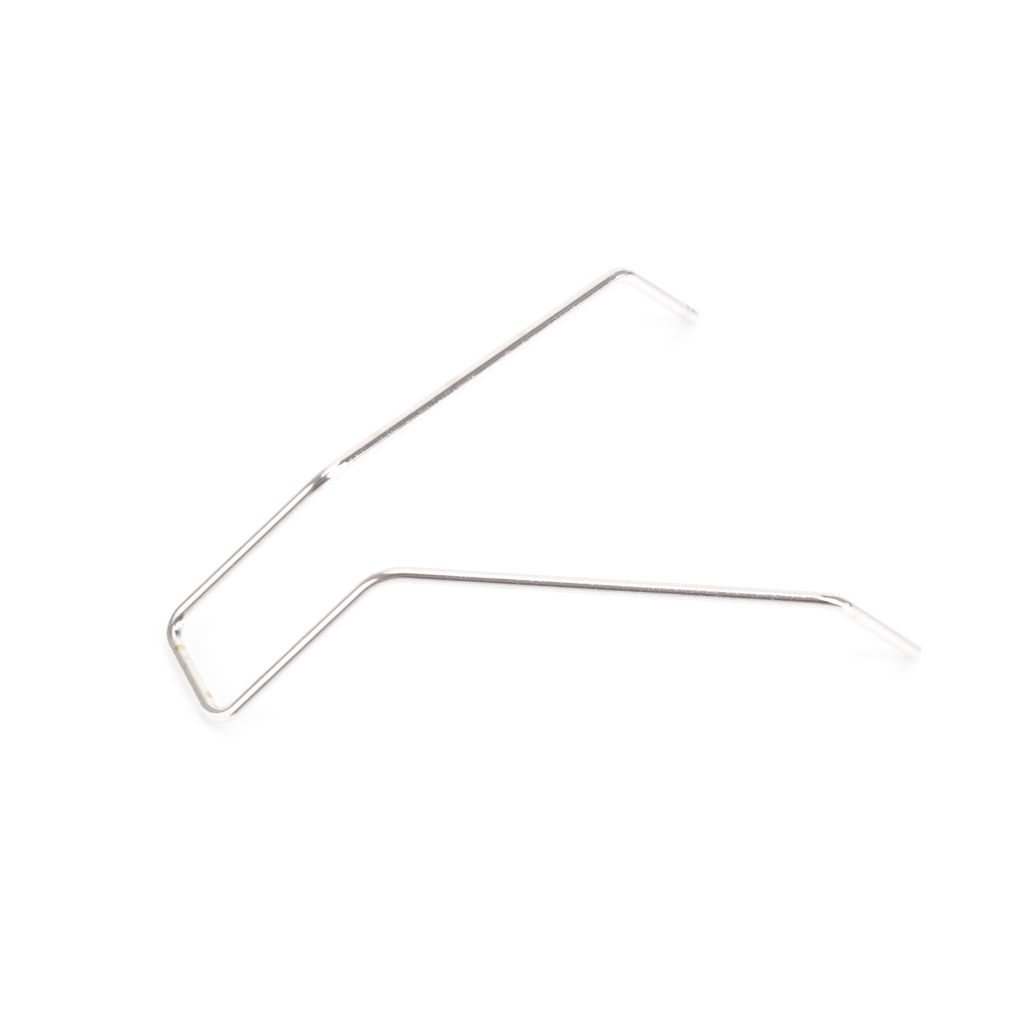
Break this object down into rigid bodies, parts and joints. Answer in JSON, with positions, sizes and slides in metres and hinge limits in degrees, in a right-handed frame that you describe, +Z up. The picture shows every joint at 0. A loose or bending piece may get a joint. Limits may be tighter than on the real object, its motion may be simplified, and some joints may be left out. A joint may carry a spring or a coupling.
{
  "type": "wing mount wire",
  "caption": "Bent round wire bracket: a crosspiece for a clamp, risers, splayed arms and short down-turned pegs that carry a wing.",
  "frame": {"origin": "middle of the crosspiece, on the centreline of the wire, 1.25 mm above the surface that the wire stands on", "axes": "+X along the crosspiece, +Y level from the crosspiece towards the pegs, +Z up from the surface that the wire stands on"},
  "size_m": [0.0782, 0.1002, 0.0234],
  "materials": {
    "bright_wire": "bright nickel plating on drawn round steel wire, with faint lengthwise drawing marks"
  },
  "bodies": {
    "root": {"mount_wire": "bright_wire"}
  },
  "joints": []
}
